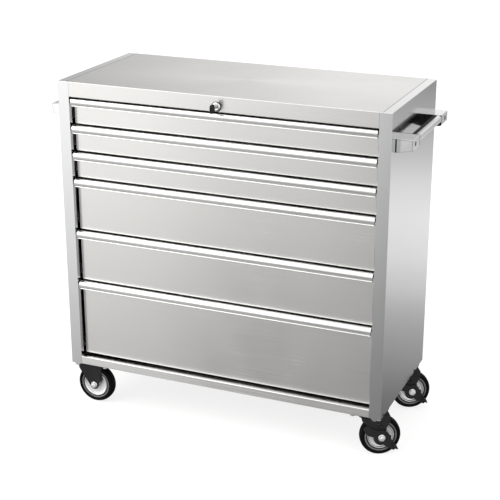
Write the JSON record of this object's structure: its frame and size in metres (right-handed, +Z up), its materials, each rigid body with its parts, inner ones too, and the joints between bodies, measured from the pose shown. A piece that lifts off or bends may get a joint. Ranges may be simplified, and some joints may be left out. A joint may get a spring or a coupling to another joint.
{
  "type": "rolling tool chest",
  "caption": "Stainless roller cabinet with full-width pull drawers on ball slides, a key lock, side push handles and rigid and swivel casters.",
  "frame": {"origin": "on the floor, at the middle of the whole chest's box, the key and handles included; the cabinet's own middle is 21 mm behind it", "axes": "+X to the chest's right side, where the swivel casters are, +Y to the back, +Z up; the drawers open towards -Y"},
  "size_m": [1.137, 0.499, 1.069],
  "materials": {
    "brushed_stainless": "satin",
    "polished_stainless": "gloss",
    "pull_aluminium": "satin",
    "black_powder_coat": "matte",
    "zinc_plate": "satin",
    "chrome": "gloss",
    "black_plastic": "matte",
    "black_rubber": "matte"
  },
  "bodies": {
    "cabinet": {"left_side": "polished_stainless", "right_side": "polished_stainless", "back_panel": "black_powder_coat", "top_cover": "brushed_stainless", "bottom_pan": "brushed_stainless", "slide_channels": "zinc_plate", "lock_housing": "chrome", "handle_arms": "polished_stainless", "handle_bars": "pull_aluminium", "handle_screws": "black_powder_coat", "rigid_forks": "black_powder_coat", "rigid_axles": "zinc_plate", "swivel_plates": "black_powder_coat", "caster_bolts": "zinc_plate"},
    "drawer_1": {"drawer_1_box": "black_powder_coat", "drawer_1_front": "brushed_stainless", "drawer_1_pull": "pull_aluminium", "drawer_1_inner_rails": "zinc_plate"},
    "slide_middle_1": {"drawer_1_middle_rails": "zinc_plate"},
    "drawer_2": {"drawer_2_box": "black_powder_coat", "drawer_2_front": "brushed_stainless", "drawer_2_pull": "pull_aluminium", "drawer_2_inner_rails": "zinc_plate"},
    "slide_middle_2": {"drawer_2_middle_rails": "zinc_plate"},
    "drawer_3": {"drawer_3_box": "black_powder_coat", "drawer_3_front": "brushed_stainless", "drawer_3_pull": "pull_aluminium", "drawer_3_inner_rails": "zinc_plate"},
    "slide_middle_3": {"drawer_3_middle_rails": "zinc_plate"},
    "drawer_4": {"drawer_4_box": "black_powder_coat", "drawer_4_front": "brushed_stainless", "drawer_4_pull": "pull_aluminium", "drawer_4_inner_rails": "zinc_plate"},
    "slide_middle_4": {"drawer_4_middle_rails": "zinc_plate"},
    "drawer_5": {"drawer_5_box": "black_powder_coat", "drawer_5_front": "brushed_stainless", "drawer_5_pull": "pull_aluminium", "drawer_5_inner_rails": "zinc_plate"},
    "slide_middle_5": {"drawer_5_middle_rails": "zinc_plate"},
    "drawer_6": {"drawer_6_box": "black_powder_coat", "drawer_6_front": "brushed_stainless", "drawer_6_pull": "pull_aluminium", "drawer_6_inner_rails": "zinc_plate"},
    "slide_middle_6": {"drawer_6_middle_rails": "zinc_plate"},
    "lock_plug_and_shaft": {"lock_plug": "chrome", "lock_shaft": "zinc_plate"},
    "key": {"key": "black_plastic"},
    "lock_bar": {"lock_bar": "zinc_plate"},
    "front_left_wheel": {"front_left_wheel": "zinc_plate", "front_left_tyre": "black_rubber"},
    "front_right_fork": {"front_right_fork": "black_powder_coat"},
    "front_right_wheel": {"front_right_wheel": "zinc_plate", "front_right_tyre": "black_rubber"},
    "front_brake_lever": {"front_brake_lever": "black_powder_coat"},
    "rear_left_wheel": {"rear_left_wheel": "zinc_plate", "rear_left_tyre": "black_rubber"},
    "rear_right_fork": {"rear_right_fork": "black_powder_coat"},
    "rear_right_wheel": {"rear_right_wheel": "zinc_plate", "rear_right_tyre": "black_rubber"},
    "rear_brake_lever": {"rear_brake_lever": "black_powder_coat"}
  },
  "joints": [
    {"name": "drawer_1_slide", "type": "slide", "parent": "cabinet", "child": "drawer_1", "axis": [0, -1, 0], "range_m": [0, 0.355]},
    {"name": "slide_middle_1_slide", "type": "slide", "parent": "cabinet", "child": "slide_middle_1", "axis": [0, -1, 0], "range_m": [0, 0.1775]},
    {"name": "drawer_2_slide", "type": "slide", "parent": "cabinet", "child": "drawer_2", "axis": [0, -1, 0], "range_m": [0, 0.355]},
    {"name": "slide_middle_2_slide", "type": "slide", "parent": "cabinet", "child": "slide_middle_2", "axis": [0, -1, 0], "range_m": [0, 0.1775]},
    {"name": "drawer_3_slide", "type": "slide", "parent": "cabinet", "child": "drawer_3", "axis": [0, -1, 0], "range_m": [0, 0.355]},
    {"name": "slide_middle_3_slide", "type": "slide", "parent": "cabinet", "child": "slide_middle_3", "axis": [0, -1, 0], "range_m": [0, 0.1775]},
    {"name": "drawer_4_slide", "type": "slide", "parent": "cabinet", "child": "drawer_4", "axis": [0, -1, 0], "range_m": [0, 0.355]},
    {"name": "slide_middle_4_slide", "type": "slide", "parent": "cabinet", "child": "slide_middle_4", "axis": [0, -1, 0], "range_m": [0, 0.1775]},
    {"name": "drawer_5_slide", "type": "slide", "parent": "cabinet", "child": "drawer_5", "axis": [0, -1, 0], "range_m": [0, 0.355]},
    {"name": "slide_middle_5_slide", "type": "slide", "parent": "cabinet", "child": "slide_middle_5", "axis": [0, -1, 0], "range_m": [0, 0.1775]},
    {"name": "drawer_6_slide", "type": "slide", "parent": "cabinet", "child": "drawer_6", "axis": [0, -1, 0], "range_m": [0, 0.355]},
    {"name": "slide_middle_6_slide", "type": "slide", "parent": "cabinet", "child": "slide_middle_6", "axis": [0, -1, 0], "range_m": [0, 0.1775]},
    {"name": "lock_turn", "type": "hinge", "parent": "cabinet", "child": "lock_plug_and_shaft", "pos_m": [0, -0.2075, 1.038], "axis": [0, 1, 0], "range_deg": [0, 90]},
    {"name": "lock_bar_slide", "type": "slide", "parent": "cabinet", "child": "lock_bar", "axis": [1, 0, 0], "range_m": [0, 0.01419]},
    {"name": "key_withdraw", "type": "slide", "parent": "lock_plug_and_shaft", "child": "key", "axis": [0, -1, 0], "range_m": [0, 0.03]},
    {"name": "front_left_roll", "type": "hinge", "parent": "cabinet", "child": "front_left_wheel", "pos_m": [-0.458, -0.158, 0.0625], "axis": [0, 1, 0], "continuous": true},
    {"name": "front_right_swivel", "type": "hinge", "parent": "cabinet", "child": "front_right_fork", "pos_m": [0.4685, -0.158, 0.145], "axis": [0, 0, 1], "continuous": true},
    {"name": "front_right_roll", "type": "hinge", "parent": "front_right_fork", "child": "front_right_wheel", "pos_m": [0.49936, -0.13946, 0.0625], "axis": [-0.515, 0.8572, 0], "continuous": true},
    {"name": "front_brake_press", "type": "hinge", "parent": "front_right_fork", "child": "front_brake_lever", "pos_m": [0.49936, -0.13946, 0.0625], "axis": [-0.515, 0.8572, 0], "range_deg": [0, 18]},
    {"name": "rear_left_roll", "type": "hinge", "parent": "cabinet", "child": "rear_left_wheel", "pos_m": [-0.458, 0.173, 0.0625], "axis": [0, 1, 0], "continuous": true},
    {"name": "rear_right_swivel", "type": "hinge", "parent": "cabinet", "child": "rear_right_fork", "pos_m": [0.4685, 0.173, 0.145], "axis": [0, 0, 1], "continuous": true},
    {"name": "rear_right_roll", "type": "hinge", "parent": "rear_right_fork", "child": "rear_right_wheel", "pos_m": [0.49936, 0.19154, 0.0625], "axis": [-0.515, 0.8572, 0], "continuous": true},
    {"name": "rear_brake_press", "type": "hinge", "parent": "rear_right_fork", "child": "rear_brake_lever", "pos_m": [0.49936, 0.19154, 0.0625], "axis": [-0.515, 0.8572, 0], "range_deg": [0, 18]}
  ],
  "couplings": [
    {"joint": "slide_middle_1_slide", "follows": "drawer_1_slide", "ratio": 0.5},
    {"joint": "slide_middle_2_slide", "follows": "drawer_2_slide", "ratio": 0.5},
    {"joint": "slide_middle_3_slide", "follows": "drawer_3_slide", "ratio": 0.5},
    {"joint": "slide_middle_4_slide", "follows": "drawer_4_slide", "ratio": 0.5},
    {"joint": "slide_middle_5_slide", "follows": "drawer_5_slide", "ratio": 0.5},
    {"joint": "slide_middle_6_slide", "follows": "drawer_6_slide", "ratio": 0.5},
    {"joint": "lock_bar_slide", "follows": "lock_turn", "m_per_rad": 0.0090032}
  ]
}
